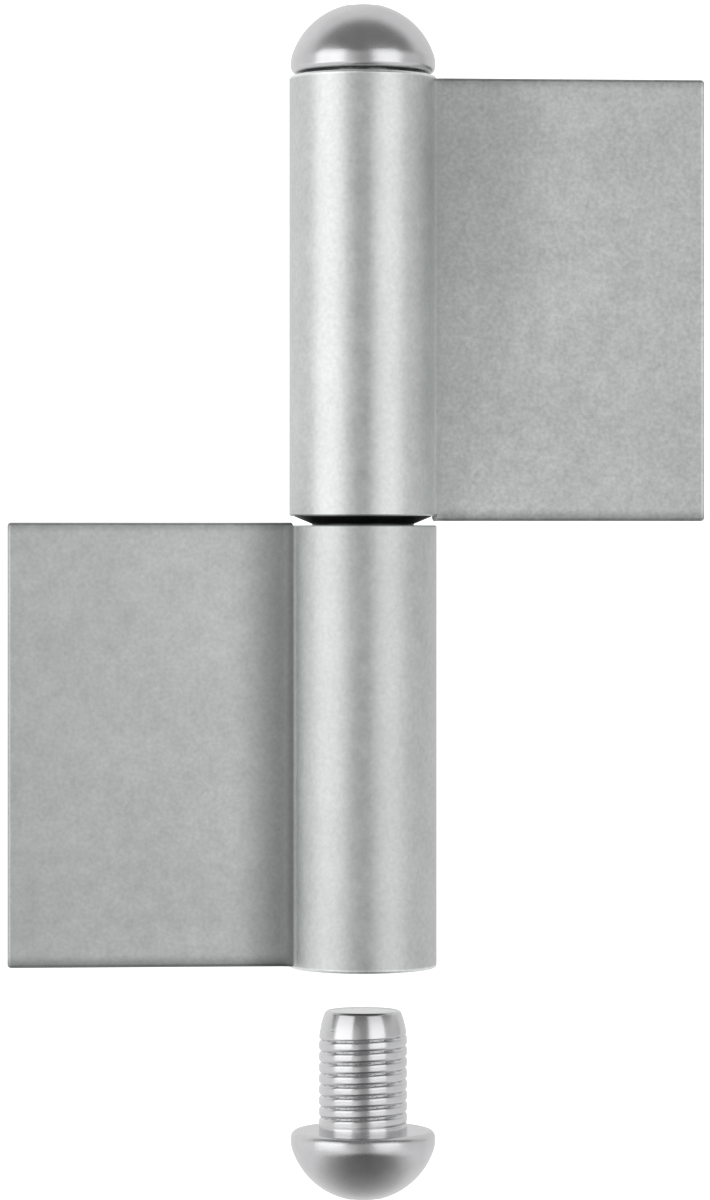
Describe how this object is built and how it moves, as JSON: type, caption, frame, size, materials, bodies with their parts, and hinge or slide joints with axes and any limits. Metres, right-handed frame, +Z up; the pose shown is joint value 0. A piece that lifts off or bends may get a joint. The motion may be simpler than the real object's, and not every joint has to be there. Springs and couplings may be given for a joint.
{
  "type": "weld-on hinge",
  "caption": "Weld-on flag hinge: leaves on opposite sides of a round knuckle pair that turns on a steel pin, domed cap screws in the tapped ends, the lower one drawn out.",
  "frame": {"origin": "on the hinge axis, level with the middle of the slit between the two leaves", "axes": "+Z up along the hinge axis towards the upper knuckle; the leaves lie in the XZ plane, the lower one towards -X and the upper one towards +X; the front faces -Y"},
  "size_m": [0.0945, 0.02, 0.1618],
  "materials": {
    "leaf_steel": "fine-grained satin zinc on drawn steel",
    "cap_zinc": "smooth bright zinc on turned steel",
    "pin_steel": "ground and lightly oiled",
    "washer_steel": "dark hardened steel, greased"
  },
  "bodies": {
    "frame_half": {"lower_leaf": "leaf_steel", "hinge_pin": "pin_steel"},
    "washer": {"bearing_washer": "washer_steel"},
    "door_half": {"upper_leaf": "leaf_steel"},
    "upper_cap": {"upper_cap_screw": "cap_zinc"},
    "lower_cap": {"lower_cap_screw": "cap_zinc"}
  },
  "joints": [
    {"name": "lift_off", "type": "slide", "parent": "frame_half", "child": "washer", "axis": [0, 0, 1], "range_m": [0, 0.048]},
    {"name": "leaf_swing", "type": "hinge", "parent": "washer", "child": "door_half", "pos_m": [0, 0, 0], "axis": [0, 0, 1], "continuous": true},
    {"name": "upper_cap_travel", "type": "slide", "parent": "door_half", "child": "upper_cap", "axis": [0, 0, 1], "range_m": [0, 0.022]},
    {"name": "lower_cap_travel", "type": "slide", "parent": "frame_half", "child": "lower_cap", "axis": [0, 0, 1], "range_m": [0, 0.02175]}
  ]
}
